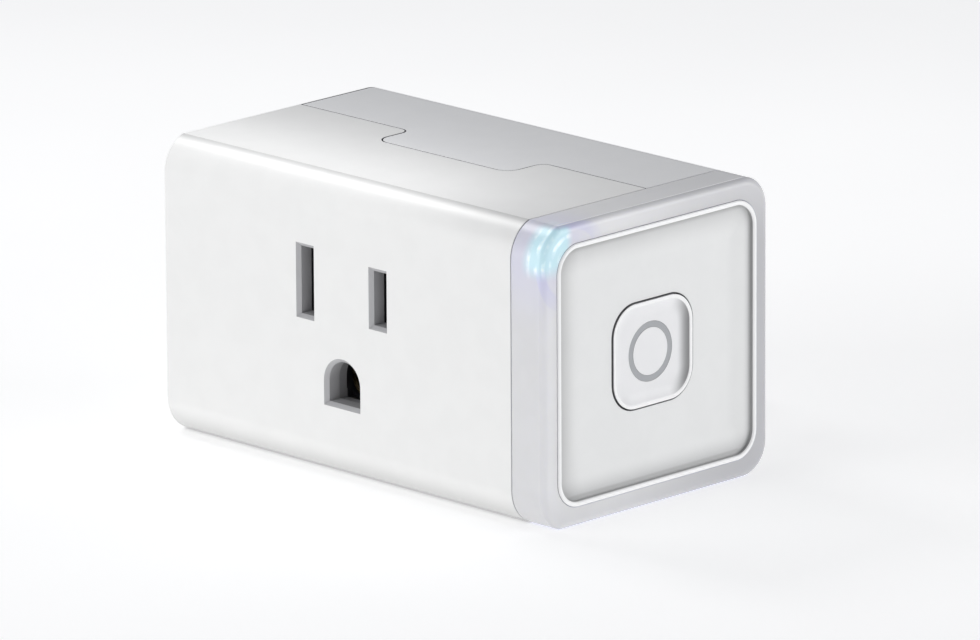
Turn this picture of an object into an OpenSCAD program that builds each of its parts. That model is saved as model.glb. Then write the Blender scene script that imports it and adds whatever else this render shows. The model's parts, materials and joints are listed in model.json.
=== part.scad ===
// Compact smart plug: one grounded outlet in front, blades behind, push button on the right end.
// X runs to the right end, Y runs back to the wall, Z is up. The back face lies on Y = 0.
// X = 0 is the centreline of the outlet and of the blades, and Z = 0 is half the body's height.

/* [Body] */
// Left end of the body, left of the outlet's centreline
body_left = 31.5; // [30:0.1:34]
// Right end of the two white shells
shell_right = 29.2; // [28.6:0.1:29.6]
// End face of the light ring
ring_face = 34.7; // [34:0.1:35.2]
// How far the end panel's bezel stands out of the ring
bezel_proud = 0.2; // [0.1:0.05:0.4]
// Depth from the front face to the back face
body_depth = 39.4; // [39:0.1:41]
// Height of the body
body_height = 38; // [37.6:0.1:40]
// Radius of the two long front edges
front_radius = 4.85; // [4:0.05:5.2]
// Radius of the two long rear edges
rear_radius = 4.1; // [3.6:0.05:4.6]
// Radius of the ring's outer edge
ring_fillet = 1; // [0.6:0.1:1.2]
// Wall of the shells
wall = 2; // [1.8:0.1:2.2]
// Wall behind the outlet face
front_wall = 2.2; // [2:0.1:2.4]

/* [Seam] */
// Line between the front and rear shell, in front of the back face
seam_y = 16; // [15.5:0.1:16.5]
// How far the top tab of the rear shell reaches forward of that line
tab_reach = 6.1; // [5:0.1:6.5]
// Half width of the tab
tab_half_width = 11.7; // [10:0.1:13]
// Radius of the tab's front corners
tab_corner = 2.2; // [1.5:0.1:2.6]
// Radius at the tab's roots
tab_root = 1.3; // [0.8:0.1:1.6]
// Visible gap between neighbouring covers
seam_gap = 0.12; // [0.08:0.01:0.2]

/* [Outlet] */
// Distance between the two blade slots
slot_pitch = 12.7; // [12.6:0.1:12.8]
// Height of the slots' centres
slot_z = 5.2; // [5:0.1:5.4]
// Distance from the slots' centres down to the ground hole's centre
ground_drop = 11.9; // [11.8:0.1:12]
// Width of a slot inside its chamfer
slot_width = 2.2; // [2:0.1:2.3]
// Height of the neutral slot inside its chamfer
neutral_slot_height = 8.6; // [8.3:0.1:8.8]
// Height of the line slot inside its chamfer
line_slot_height = 6.9; // [6.7:0.1:7.2]
// Radius of the ground hole's arch inside its chamfer
ground_hole_radius = 2.7; // [2.6:0.05:2.8]
// Depth and width of the chamfers
slot_chamfer = 0.48; // [0.3:0.02:0.6]

/* [Prongs] */
// Length of the blades behind the back face
blade_length = 17.4; // [15.9:0.1:18.2]
// Thickness of the blades
blade_thickness = 1.5; // [1.4:0.05:1.65]
// Width of the neutral blade
neutral_blade_width = 7.9; // [7.7:0.1:8.1]
// Width of the line blade
line_blade_width = 6.3; // [6.1:0.1:6.5]
// Radius of the ground pin
ground_pin_radius = 2.38; // [2.3:0.01:2.45]
// Length of the ground pin behind the back face
ground_pin_length = 21; // [19:0.1:21.4]

/* [End panel] */
// Height of the bezel
bezel_height = 33; // [32.5:0.1:33.4]
// Front edge of the bezel, behind the front face
bezel_front = 2.45; // [2.2:0.05:2.8]
// Rear edge of the bezel, in front of the back face
bezel_rear = 2.2; // [2:0.05:2.6]
// Outer corner radius of the bezel
bezel_radius = 3.55; // [3:0.05:4]
// Width of the bezel's raised line
bezel_width = 0.7; // [0.5:0.05:0.9]
// Depth of the panel's edge under the bezel
panel_step = 0.75; // [0.5:0.05:0.9]
// Depth of the panel's flat middle under the bezel
panel_depth = 1.1; // [1:0.05:1.4]
// Width of the slope between the two
panel_slope = 4; // [3:0.1:5]

/* [Button] */
// Width of the button, from front to back
button_width = 13.8; // [13:0.1:14]
// Height of the button
button_height = 13.2; // [12.8:0.1:14]
// Corner radius of the button
button_radius = 3.8; // [3:0.1:4.2]
// How far the button stands out of the panel
button_proud = 0.2; // [0.15:0.05:0.4]
// Gap around the button
button_gap = 0.2; // [0.18:0.01:0.3]
// Depth of the dish in the button's face
dish_depth = 0.55; // [0.4:0.05:0.6]
// Width of the button's flat rim
button_rim = 0.45; // [0.4:0.05:0.7]
// Width of the slope from the rim down to the dish's floor
dish_slope = 1.8; // [1:0.1:2]
// Outer radius of the grey ring
mark_outer = 3.8; // [3.5:0.01:3.9]
// Inner radius of the grey ring
mark_inner = 2.99; // [2.6:0.01:3.1]
// Travel of the button
button_travel = 0.3; // [0.2:0.05:0.3]

/* [Boards] */
// Front face of the power board, in front of the back face
power_board_y = 14; // [13.8:0.1:14.4]
// Left face of the control board
control_board_x = 24.4; // [24.3:0.1:24.6]
// Thickness of both boards
board_thickness = 1.6; // [1.5:0.1:1.6]

/* [Hidden] */
$fn = 48;

half_height = body_height / 2;
front_y = -body_depth;
left_x = -body_left;
// Thin outer lip of the left end wall, which the rear shell butts against
end_lip = 0.5;
// Clearance between pieces that plug into each other
fit = 0.1;
// Clearance used where a cut runs past a solid
over = 1;

ground_z = slot_z - ground_drop;
// Side of the ground pin's square shank, which stops it from turning inside the body
ground_shank = 3.3;
neutral_x = -slot_pitch / 2;
line_x = slot_pitch / 2;

bezel_face = ring_face + bezel_proud;
bezel_y0 = front_y + bezel_front;
bezel_y1 = -bezel_rear;
panel_y = (bezel_y0 + bezel_y1) / 2;
panel_depth_y = bezel_y1 - bezel_y0;
panel_floor = bezel_face - panel_depth;
panel_back = panel_floor - 1.2;
button_face = panel_floor + button_proud;
button_flange_front = panel_back - 0.35;
button_flange_back = button_flange_front - 1;
stem_end = button_flange_back - 0.3;

board_front = -power_board_y;
board_back = board_front + board_thickness;
control_board_right = control_board_x + board_thickness;
// Bottom of the well that the switch's plunger moves in
switch_well = control_board_right + 1.2;

// Contact carrier: block behind the outlet face
carrier_front = front_y + front_wall + fit;
carrier_plate = 1.3;
carrier_back = -17.4;
carrier_half_width = 10.4;
carrier_top = 11.4;
carrier_bottom = -11.6;
ear_x = 12.4;
ear_z = -9.4;
ear_front = carrier_front + 3.2;
ear_thickness = 1.5;

// Screws
screw_radius = 1.05;
pilot_radius = 1.1;
head_radius = 2;
head_height = 1.4;
board_screw_places = [[-25.6, 12.4], [-25.6, -12.4], [9, 13.2], [9, -13.2]];

// Relay
relay_x = [-28.1, -12.7];
relay_z = [-9.5, 9.5];
relay_front = -29.6;
relay_wall = 0.8;
coil_x = -20.4;
coil_z = -2.2;
core_tip = -25.9;
yoke_z = 5;
armature_gap = 0.9;
armature_thickness = 1;
relay_base_front = board_front - 2.2;
relay_pin_places = [[-26.2, 6.5], [-14.6, 6.5], [-26.2, -6.9], [-14.6, -6.9], [-20.4, -7.6]];

transformer_pin_places = [[12.2, 3.6], [12.2, 13.2], [19.4, 3.6], [19.4, 13.2]];

// Pin header between the two boards
header_x = 21.6;
header_pitch = 2.54;
header_y = board_front - 1.3;

// ---------- Shared shapes ----------

module block(low, high) {
    translate(low)
        cube(high - low);
}

// Extrudes a drawing of Y and Z along X
module along_x(x0, x1) {
    translate([x0, 0, 0])
        rotate([90, 0, 90])
            linear_extrude(x1 - x0)
                children();
}

// Extrudes a drawing of X and Z along Y
module along_y(y0, y1) {
    translate([0, y1, 0])
        rotate([90, 0, 0])
            linear_extrude(y1 - y0)
                children();
}

// Extrudes a drawing of X and Y along Z
module along_z(z0, z1) {
    translate([0, 0, z0])
        linear_extrude(z1 - z0)
            children();
}

module rod_x(x0, x1, y, z, r) {
    translate([x0, y, z])
        rotate([0, 90, 0])
            cylinder(h = x1 - x0, r = r);
}

module rod_y(y0, y1, x, z, r) {
    translate([x, y1, z])
        rotate([90, 0, 0])
            cylinder(h = y1 - y0, r = r);
}

module rounded_rect(low, high, r) {
    translate([low.x + r, low.y])
        square([high.x - low.x - 2 * r, high.y - low.y]);
    translate([low.x, low.y + r])
        square([high.x - low.x, high.y - low.y - 2 * r]);
    for (a = [low.x + r, high.x - r], b = [low.y + r, high.y - r])
        translate([a, b])
            circle(r);
}

// The body's outline in Y and Z, moved inwards by a different amount at the front, back and top
module body_outline(front, back, top) {
    rf = front_radius - front;
    rr = rear_radius - back;
    y0 = front_y + front;
    y1 = -back;
    hz = half_height - top;
    translate([y0 + rf, -hz])
        square([y1 - y0 - rf - rr, 2 * hz]);
    translate([y0, -hz + rf])
        square([rf + over, 2 * (hz - rf)]);
    translate([y1 - rr - over, -hz + rr])
        square([rr + over, 2 * (hz - rr)]);
    for (s = [-1, 1]) {
        translate([y0 + rf, s * (hz - rf)])
            circle(rf);
        translate([y1 - rr, s * (hz - rr)])
            circle(rr);
    }
}

// The hollow inside both shells
module shell_hollow(x0, x1) {
    along_x(x0, x1)
        body_outline(front_wall, wall, wall);
}

// A recess in a face that looks along +X, with four sloping sides
module sloped_recess(y, half_y, half_z, slope, top, bottom) {
    intersection() {
        along_z(-half_z, half_z)
            polygon([
                [top, y - half_y], [bottom, y - half_y + slope],
                [bottom, y + half_y - slope], [top, y + half_y],
                [top + over, y + half_y], [top + over, y - half_y]
            ]);
        along_y(y - half_y, y + half_y)
            polygon([
                [top, -half_z], [bottom, -half_z + slope],
                [bottom, half_z - slope], [top, half_z],
                [top + over, half_z], [top + over, -half_z]
            ]);
    }
}

// A chamfer around a rectangular opening in the front face
module slot_mouth(x, z, width, height) {
    w = width / 2;
    h = height / 2;
    c = slot_chamfer;
    intersection() {
        along_z(z - h - c, z + h + c)
            polygon([
                [x - w, front_y + c], [x - w - c, front_y], [x - w - c, front_y - over],
                [x + w + c, front_y - over], [x + w + c, front_y], [x + w, front_y + c]
            ]);
        along_x(x - w - c, x + w + c)
            polygon([
                [front_y + c, z - h], [front_y, z - h - c], [front_y - over, z - h - c],
                [front_y - over, z + h + c], [front_y, z + h + c], [front_y + c, z + h]
            ]);
    }
}

// The ground hole: an arch above and a flat floor below
module ground_outline(r) {
    translate([0, ground_z])
        circle(r);
    translate([-r, ground_z - r])
        square([2 * r, r]);
}

module outlet_openings(y0, y1, margin) {
    along_y(y0, y1) {
        for (s = [[neutral_x, neutral_slot_height], [line_x, line_slot_height]])
            translate([s[0] - slot_width / 2 - margin, slot_z - s[1] / 2 - margin])
                square([slot_width + 2 * margin, s[1] + 2 * margin]);
        ground_outline(ground_hole_radius + margin);
    }
}

module ground_mouth() {
    r = ground_hole_radius;
    c = slot_chamfer;
    translate([0, front_y, ground_z])
        rotate([-90, 0, 0])
            cylinder(h = c, r1 = r + c, r2 = r);
    translate([0, 0, ground_z])
        intersection() {
            along_z(-r - c, 0)
                polygon([[-r, front_y + c], [-r - c, front_y], [-r - c, front_y - over],
                    [r + c, front_y - over], [r + c, front_y], [r, front_y + c]]);
            along_x(-r - c, r + c)
                polygon([[front_y + c, -r], [front_y, -r - c], [front_y - over, -r - c],
                    [front_y - over, 0], [front_y + c, 0]]);
        }
}

// The top tab of the rear shell; grow widens it for the matching cut in the front shell
module tab_outline(grow) {
    w = tab_half_width + grow;
    y0 = -seam_y - tab_reach - grow;
    r = tab_corner + grow;
    root = tab_root - grow;
    edge = -seam_y - grow;
    translate([-w + r, y0])
        square([2 * (w - r), -y0]);
    translate([-w, y0 + r])
        square([2 * w, -y0 - r]);
    for (s = [-1, 1]) {
        translate([s * (w - r), y0 + r])
            circle(r);
        difference() {
            translate([s > 0 ? w : -w - root, edge - root])
                square([root, root + over]);
            translate([s * (w + root), edge - root])
                circle(root);
        }
    }
}

// Everything that belongs to the rear shell's side of the seam
module rear_region(grow) {
    x0 = left_x + end_lip;
    block([x0, -seam_y - grow, -half_height - over], [shell_right + over, over, half_height + over]);
    along_z(0, half_height + over)
        tab_outline(grow);
}

// ---------- Covers ----------

module front_housing() {
    color([0.95, 0.95, 0.945])
        union() {
            difference() {
                along_x(left_x, shell_right)
                    body_outline(0, 0, 0);
                shell_hollow(left_x + wall, shell_right + over);
                difference() {
                    rear_region(0);
                    end_wall_core();
                }
                outlet_openings(front_y - over, front_y + front_wall + over, 0);
                slot_mouth(neutral_x, slot_z, slot_width, neutral_slot_height);
                slot_mouth(line_x, slot_z, slot_width, line_slot_height);
                ground_mouth();
            }
            for (s = [-1, 1])
                carrier_boss(s * ear_x);
            for (x = [control_board_x - 1.3, control_board_right + fit])
                block([x, front_y + front_wall - fit, -6], [x + 1.2, front_y + front_wall + 2.6, 6]);
        }
}

// The part of the left end wall that plugs into the rear shell
module end_wall_core() {
    along_x(left_x, left_x + wall)
        body_outline(front_wall + fit, wall + fit, wall + fit);
}

module carrier_boss(x) {
    difference() {
        rod_y(front_y + front_wall - fit, ear_front - fit, x, ear_z, head_radius);
        rod_y(front_y + front_wall + 0.4, ear_front + over, x, ear_z, pilot_radius);
    }
}

module rear_housing() {
    color([0.94, 0.94, 0.94])
        difference() {
            union() {
                difference() {
                    along_x(left_x + end_lip + seam_gap, shell_right)
                        body_outline(0, 0, 0);
                    shell_hollow(left_x, shell_right + over);
                    front_side_of_seam();
                }
                seam_tongues();
                for (p = board_screw_places)
                    rod_y(board_back, -wall + fit, p.x, p.y, 2.5);
                for (x = [control_board_x - 1.3, control_board_right + fit])
                    block([x, -wall - 3, -6], [x + 1.2, -wall + fit, 6]);
            }
            for (p = board_screw_places)
                rod_y(board_back - over, -wall - 0.6, p.x, p.y, pilot_radius);
            blade_passages(-wall - over, over, 0.1);
            rod_y(-wall - over, over, 0, ground_z, ground_pin_radius + 0.1);
        }
}

module front_side_of_seam() {
    difference() {
        block(
            [left_x - over, front_y - over, -half_height - over],
            [shell_right + over, -seam_y + seam_gap, half_height + over]
        );
        along_z(0, half_height + 2 * over)
            tab_outline(-seam_gap);
    }
}

// Tongues that run under the front shell at the top and bottom seams
module seam_tongues() {
    x0 = left_x + wall + 0.3;
    x1 = shell_right - 2;
    hz = half_height - wall;
    for (s = [-1, 1]) {
        outer = s * (hz - fit);
        inner = s * (hz - 1.3);
        fused = s * (hz + fit);
        reach = s > 0 ? seam_y + tab_reach + 1.8 : seam_y + 2.5;
        block([x0, -reach, min(outer, inner)], [x1, -seam_y + 2, max(outer, inner)]);
        block([x0, -seam_y + 0.4, min(inner, fused)], [x1, -seam_y + 2, max(inner, fused)]);
    }
    block([2 - tab_half_width, 1.2 - seam_y - tab_reach, hz - 1.3],
        [tab_half_width - 2, -seam_y + 2, hz + fit]);
}

// Openings for the two blades, widened by a margin
module blade_passages(y0, y1, margin) {
    for (b = [[neutral_x, neutral_blade_width], [line_x, line_blade_width]]) {
        w = blade_thickness / 2 + margin;
        h = b[1] / 2 + margin;
        block([b[0] - w, y0, slot_z - h], [b[0] + w, y1, slot_z + h]);
    }
}

module light_ring() {
    ledge_x = shell_right + seam_gap;
    color([0.86, 0.87, 0.9])
        union() {
            difference() {
                union() {
                    ring_solid(ledge_x);
                    along_x(shell_right - 1.8, ledge_x + over)
                        body_outline(front_wall + fit, wall + fit, wall + fit);
                }
                along_x(shell_right - 3, ledge_x)
                    body_outline(front_wall + 1.3, wall + 1.3, wall + 1.3);
                along_x(ledge_x - over, ring_face + over)
                    rounded_rect([bezel_y0 + 1.9, 1.9 - bezel_height / 2],
                        [bezel_y1 - 1.9, bezel_height / 2 - 1.9], 1.6);
                along_x(ledge_x + 1, ring_face + over)
                    rounded_rect([bezel_y0 - seam_gap, -bezel_height / 2 - seam_gap],
                        [bezel_y1 + seam_gap, bezel_height / 2 + seam_gap], bezel_radius + seam_gap);
            }
            light_inlet();
        }
}

// Outer solid of the ring: its far edge is rounded all the way around
module ring_solid(x0) {
    hz = half_height;
    yf = front_y + front_radius;
    yr = -rear_radius;
    along_y(yf, yr)
        rounded_strip(x0, -hz, hz, true, true);
    along_z(front_radius - hz, hz - front_radius)
        rounded_strip(x0, front_y, yf, true, false);
    along_z(rear_radius - hz, hz - rear_radius)
        rounded_strip(x0, yr, 0, false, true);
    for (s = [0, 1]) {
        ring_corner(x0, yf, (2 * s - 1) * (hz - front_radius), front_radius, 1, s);
        ring_corner(x0, yr, (2 * s - 1) * (hz - rear_radius), rear_radius, 0, s);
    }
}

// Drawing from x0 to the ring's end face, rounded at its low side, its high side or both
module rounded_strip(x0, low, high, round_low, round_high) {
    f = ring_fillet;
    a0 = round_low ? low + f : low;
    a1 = round_high ? high - f : high;
    translate([x0, low])
        square([ring_face - f - x0, high - low]);
    translate([x0, a0])
        square([ring_face - x0, a1 - a0]);
    if (round_low)
        translate([ring_face - f, low + f])
            circle(f);
    if (round_high)
        translate([ring_face - f, high - f])
            circle(f);
}

// Quarter of a rounded post, turned to one of the four corners by mirrors
module ring_corner(x0, y, z, r, flip_y, flip_z) {
    f = ring_fillet;
    length = ring_face - x0;
    translate([x0, y, z])
        mirror([0, flip_y, 0])
            mirror([0, 0, flip_z])
                rotate([0, 90, 0])
                    rotate_extrude(angle = 90) {
                        square([r - f, length]);
                        square([r, length - f]);
                        translate([r - f, length - f])
                            circle(f);
                    }
}

// Pad that takes the lamp's light into the ring at the front top corner
module light_inlet() {
    block([shell_right - 1, front_y + 4, 11.2], [shell_right + 0.6, front_y + 8, half_height - 3.1]);
}

module end_panel() {
    half_y = panel_depth_y / 2 - bezel_width;
    half_z = bezel_height / 2 - bezel_width;
    color([0.9, 0.905, 0.905])
        difference() {
            along_x(shell_right + seam_gap + 1.1, bezel_face)
                rounded_rect([bezel_y0, -bezel_height / 2], [bezel_y1, bezel_height / 2], bezel_radius);
            along_x(bezel_face - panel_step, bezel_face + over)
                rounded_rect([bezel_y0 + bezel_width, bezel_width - bezel_height / 2],
                    [bezel_y1 - bezel_width, bezel_height / 2 - bezel_width], bezel_radius - bezel_width);
            sloped_recess(panel_y, half_y - fit, half_z - fit, panel_slope,
                bezel_face - panel_step, panel_floor);
            along_x(shell_right, panel_back)
                rounded_rect([bezel_y0 + 1.2, 1.2 - bezel_height / 2],
                    [bezel_y1 - 1.2, bezel_height / 2 - 1.2], bezel_radius - 1.2);
            along_x(panel_back - over, bezel_face)
                button_outline(button_gap, button_radius + button_gap);
        }
}

// ---------- Button ----------

// The button's outline, moved outwards by grow
module button_outline(grow, r) {
    half_y = button_width / 2 + grow;
    half_z = button_height / 2 + grow;
    rounded_rect([panel_y - half_y, -half_z], [panel_y + half_y, half_z], r);
}

module button_cap() {
    floor_x = button_face - dish_depth;
    color([0.94, 0.94, 0.95])
        difference() {
            union() {
                along_x(button_flange_back, button_face)
                    button_outline(0, button_radius);
                along_x(button_flange_back, button_flange_front)
                    button_outline(1.2, button_radius + 1);
                rod_x(stem_end, button_flange_back + fit, panel_y, 0, 1.6);
            }
            intersection() {
                sloped_recess(panel_y, button_width / 2 - button_rim, button_height / 2 - button_rim,
                    dish_slope, button_face, floor_x);
                along_x(floor_x - over, button_face + 2 * over)
                    button_outline(-button_rim, button_radius - button_rim);
            }
            mark_groove(floor_x);
        }
}

module mark_groove(floor_x) {
    difference() {
        rod_x(floor_x - 0.3, floor_x + over, panel_y, 0, mark_outer);
        rod_x(floor_x - over, floor_x + 2 * over, panel_y, 0, mark_inner);
    }
}

module button_ring_inlay() {
    floor_x = button_face - dish_depth;
    color([0.65, 0.66, 0.69])
        difference() {
            rod_x(floor_x - 0.28, floor_x, panel_y, 0, mark_outer - 0.02);
            rod_x(floor_x - over, floor_x + over, panel_y, 0, mark_inner + 0.02);
        }
}

module switch_body() {
    y = panel_y;
    color([0.12, 0.12, 0.13])
        difference() {
            block([control_board_right, y - 3, -3], [control_board_right + 3.4, y + 3, 3]);
            rod_x(switch_well, control_board_right + 3.4 + over, y, 0, 2.05);
        }
}

module switch_plunger() {
    color([0.3, 0.3, 0.32])
        rod_x(switch_well + 0.4 + button_travel, stem_end - 0.3, panel_y, 0, 1.7);
}

// ---------- Outlet contacts ----------

module contact_carrier() {
    color([0.55, 0.56, 0.58])
        difference() {
            union() {
                block([-carrier_half_width, carrier_front, carrier_bottom],
                    [carrier_half_width, carrier_back, carrier_top]);
                for (s = [-1, 1])
                    carrier_ear(s);
            }
            outlet_openings(carrier_front - over, carrier_front + carrier_plate + over, 0.15);
            contact_cell(neutral_x, neutral_slot_height);
            contact_cell(line_x, line_slot_height);
            rod_y(carrier_front + carrier_plate, carrier_back + over, 0, ground_z, 3.4);
            for (s = [-1, 1])
                rod_y(carrier_front, ear_front + ear_thickness + over, s * ear_x, ear_z, 1.3);
        }
}

module carrier_ear(s) {
    x0 = min(s * (carrier_half_width - fit), s * (ear_x + 2.2));
    x1 = max(s * (carrier_half_width - fit), s * (ear_x + 2.2));
    block([x0, ear_front, ear_z - 2.2], [x1, ear_front + ear_thickness, ear_z + 2.2]);
}

module contact_cell(x, height) {
    h = height / 2 + 0.4;
    block([x - 2.9, carrier_front + carrier_plate, slot_z - h], [x + 2.9, carrier_back + over, slot_z + h]);
}

// One spring leaf of a blade contact, to the right of the blade
module contact_leaf() {
    t = 0.5;
    base = carrier_back - 0.8;
    mouth = carrier_front + carrier_plate + 1;
    throat = mouth + 4.4;
    bend = base - 3.4;
    polygon([
        [2.1, base], [2.1, bend], [0.6 + t, throat], [1.5 + t, mouth],
        [1.5, mouth], [0.6, throat], [2.1 - t, bend], [2.1 - t, base]
    ]);
}

// A pair of leaves on a base, with a tail that passes through the power board
module blade_contact(x, height) {
    base = carrier_back - 0.8;
    translate([x, 0, slot_z]) {
        along_z(-height / 2, height / 2) {
            contact_leaf();
            mirror([1, 0])
                contact_leaf();
            translate([-2.1, base - 0.2])
                square([4.2, 0.8]);
        }
        block([-0.4, base, 1.2], [0.4, board_back + 0.8, 3.2]);
    }
}

module neutral_contact() {
    color([0.78, 0.6, 0.32])
        blade_contact(neutral_x, neutral_slot_height - 1);
}

module line_contact() {
    color([0.78, 0.6, 0.32])
        blade_contact(line_x, line_slot_height - 0.3);
}

module ground_contact() {
    mouth = carrier_front + carrier_plate + 1;
    base = carrier_back - 3;
    color([0.78, 0.6, 0.32])
        difference() {
            rod_y(mouth, base + 1, 0, ground_z, 2.9);
            rod_y(mouth - over, base, 0, ground_z, 2.3);
            block([-0.7, mouth - over, ground_z - 4], [0.7, base - 2, ground_z + 4]);
        }
}

// ---------- Prongs ----------

// A flat prong with shoulders inside the body and a narrow tab through the power board
module blade(x, width) {
    h = width / 2;
    tip = 1.4;
    shoulder = [-8.6, -7.1];
    tab_tip = board_front - 1.2;
    translate([x, 0, slot_z])
        difference() {
            along_x(-blade_thickness / 2, blade_thickness / 2)
                polygon([
                    [blade_length - tip, -h], [blade_length, tip - h],
                    [blade_length, h - tip], [blade_length - tip, h],
                    [shoulder[1], h], [shoulder[1], h + 0.9], [shoulder[0], h + 0.9],
                    [shoulder[0], 1], [board_back + 0.1, 1], [board_back + 0.1, 0],
                    [tab_tip, 0], [tab_tip, -2.6], [shoulder[0], -2.6],
                    [shoulder[0], -h - 0.9], [shoulder[1], -h - 0.9], [shoulder[1], -h]
                ]);
            rod_x(-over, over, 11.9, 0, 1.6);
        }
}

module neutral_blade() {
    color([0.8, 0.8, 0.78])
        blade(neutral_x, neutral_blade_width);
}

module line_blade() {
    color([0.8, 0.8, 0.78])
        blade(line_x, line_blade_width);
}

module ground_pin() {
    tip = ground_pin_length - ground_pin_radius;
    k = ground_shank / 2;
    color([0.8, 0.8, 0.78])
        union() {
            block([-k, -8.6, ground_z - k], [k, over, ground_z + k]);
            rod_y(0, tip, 0, ground_z, ground_pin_radius);
            translate([0, tip, ground_z])
                sphere(ground_pin_radius);
            rod_y(-8.6, -7.1, 0, ground_z, 3.6);
        }
}

module blade_holder() {
    k = ground_shank / 2 + 0.05;
    color([0.2, 0.2, 0.22])
        difference() {
            block([-11.2, -7, -10.5], [11.2, -wall - fit, 10.4]);
            blade_passages(-7 - over, 0, 0.05);
            block([-k, -7 - over, ground_z - k], [k, 0, ground_z + k]);
        }
}

// A strip from the pin's root to the ground contact, with a foot at each end
module ground_strap() {
    front = carrier_back - 1.9;
    back = -8.7;
    foot = 0.8;
    color([0.8, 0.55, 0.35])
        union() {
            block([-2, front, ground_z - 0.4], [2, back, ground_z + 0.4]);
            for (y = [front, back - foot])
                block([-2, y, ground_z - 2.2], [2, y + foot, ground_z + 2.2]);
        }
}

// ---------- Power board ----------

module power_board() {
    color([0.12, 0.35, 0.2])
        difference() {
            block([-28.8, board_front, -15.4], [23.4, board_back, 15.4]);
            block([-3.2, board_front - over, ground_z - 4.8], [3.2, board_back + over, ground_z + 2.6]);
            for (x = [neutral_x, line_x]) {
                block([x - 0.9, board_front - over, slot_z - 2.75],
                    [x + 0.9, board_back + over, slot_z + 0.15]);
                block([x - 0.55, board_front - over, slot_z + 1.05],
                    [x + 0.55, board_back + over, slot_z + 3.35]);
            }
            for (p = board_screw_places)
                rod_y(board_front - over, board_back + over, p.x, p.y, 1.3);
            for (p = relay_pin_places)
                rod_y(board_front - over, board_back + over, p.x, p.y, 0.65);
            for (p = transformer_pin_places)
                rod_y(board_front - over, board_back + over, p.x, p.y, 0.5);
            for (i = [0:5])
                rod_y(board_front - over, board_back + over, header_x, header_z(i), 0.5);
        }
}

// A pan-head screw that points along dir (1 towards +Y, -1 towards -Y)
module screw(x, z, seat, length, dir) {
    translate([x, seat, z])
        rotate([-90 * dir, 0, 0])
            union() {
                cylinder(h = length, r = screw_radius);
                difference() {
                    translate([0, 0, -head_height])
                        cylinder(h = head_height, r = head_radius);
                    for (a = [0, 90])
                        rotate(a)
                            translate([-1.2, -0.25, -head_height - over])
                                cube([2.4, 0.5, over + 0.8]);
                }
            }
}

module board_screws() {
    color([0.7, 0.7, 0.72])
        for (p = board_screw_places)
            screw(p.x, p.y, board_front, 8, 1);
}

module carrier_screws() {
    color([0.7, 0.7, 0.72])
        for (s = [-1, 1])
            screw(s * ear_x, ear_z, ear_front + ear_thickness, 4, -1);
}

// ---------- Relay ----------

module relay_base() {
    w = relay_wall + fit;
    color([0.15, 0.2, 0.4])
        difference() {
            block([relay_x[0] + w, relay_base_front, relay_z[0] + w],
                [relay_x[1] - w, board_front - 0.2, relay_z[1] - w]);
            for (p = relay_pin_places)
                rod_y(relay_base_front - over, board_front + over, p.x, p.y, 0.5);
        }
}

module relay_cover() {
    color([0.16, 0.25, 0.5])
        difference() {
            block([relay_x[0], relay_front, relay_z[0]], [relay_x[1], board_front - 0.3, relay_z[1]]);
            block([relay_x[0] + relay_wall, relay_front + relay_wall, relay_z[0] + relay_wall],
                [relay_x[1] - relay_wall, board_front + over, relay_z[1] - relay_wall]);
        }
}

module relay_pins() {
    color([0.8, 0.8, 0.78])
        for (p = relay_pin_places)
            rod_y(relay_base_front - 0.6, board_back + 0.9, p.x, p.y, 0.45);
}

module relay_bobbin() {
    back = relay_base_front - 1.3;
    front = core_tip + 0.8;
    color([0.9, 0.88, 0.8])
        difference() {
            union() {
                rod_y(back - 0.6, back, coil_x, coil_z, 5);
                rod_y(front, front + 0.6, coil_x, coil_z, 5);
                rod_y(front, back, coil_x, coil_z, 2.6);
            }
            rod_y(front - over, back + over, coil_x, coil_z, 2.05);
        }
}

module relay_coil() {
    back = relay_base_front - 1.3;
    front = core_tip + 0.8;
    color([0.72, 0.38, 0.2])
        difference() {
            rod_y(front + 0.65, back - 0.65, coil_x, coil_z, 4.7);
            rod_y(front, back, coil_x, coil_z, 2.65);
        }
}

module relay_core() {
    color([0.6, 0.6, 0.62])
        union() {
            rod_y(core_tip, relay_base_front - 1.15, coil_x, coil_z, 2);
            rod_y(core_tip, core_tip + 0.7, coil_x, coil_z, 3.6);
        }
}

module relay_yoke() {
    foot = relay_base_front - 1.1;
    color([0.62, 0.62, 0.64])
        union() {
            block([coil_x - 4, foot, coil_z - 3], [coil_x + 4, foot + 1, yoke_z + 1.2]);
            block([coil_x - 4, core_tip - 0.5, yoke_z], [coil_x + 4, foot + 1, yoke_z + 1.2]);
        }
}

module relay_armature() {
    y1 = core_tip - armature_gap;
    y0 = y1 - armature_thickness;
    color([0.7, 0.7, 0.72])
        union() {
            block([coil_x - 4, y0, coil_z - 4], [coil_x + 4, y1, yoke_z + 1.2]);
            block([coil_x - 1.5, y1 - 0.3, coil_z - 6.2], [coil_x + 1.5, y1, coil_z - 3.9]);
            rod_y(y1 - 0.3, y1 + 0.3, coil_x, coil_z - 5.7, 0.5);
        }
}

module relay_contact() {
    z = coil_z - 5.7;
    y = core_tip + 0.8;
    color([0.78, 0.6, 0.32])
        union() {
            block([coil_x - 1.5, y, z - 0.6], [coil_x + 1.5, y + 0.3, z + 0.5]);
            block([coil_x - 1.5, y, z - 0.6], [coil_x + 1.5, relay_base_front - 0.1, z - 0.3]);
            rod_y(y - 0.3, y + 0.1, coil_x, z, 0.5);
        }
}

// ---------- Power supply ----------

module transformer_base() {
    color([0.1, 0.1, 0.11])
        union() {
            block([11.2, board_front - 1.6, 2.6], [20.4, board_front - 0.1, 14.2]);
            for (p = transformer_pin_places)
                rod_y(board_front - 0.2, board_back + 0.8, p.x, p.y, 0.35);
        }
}

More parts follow.
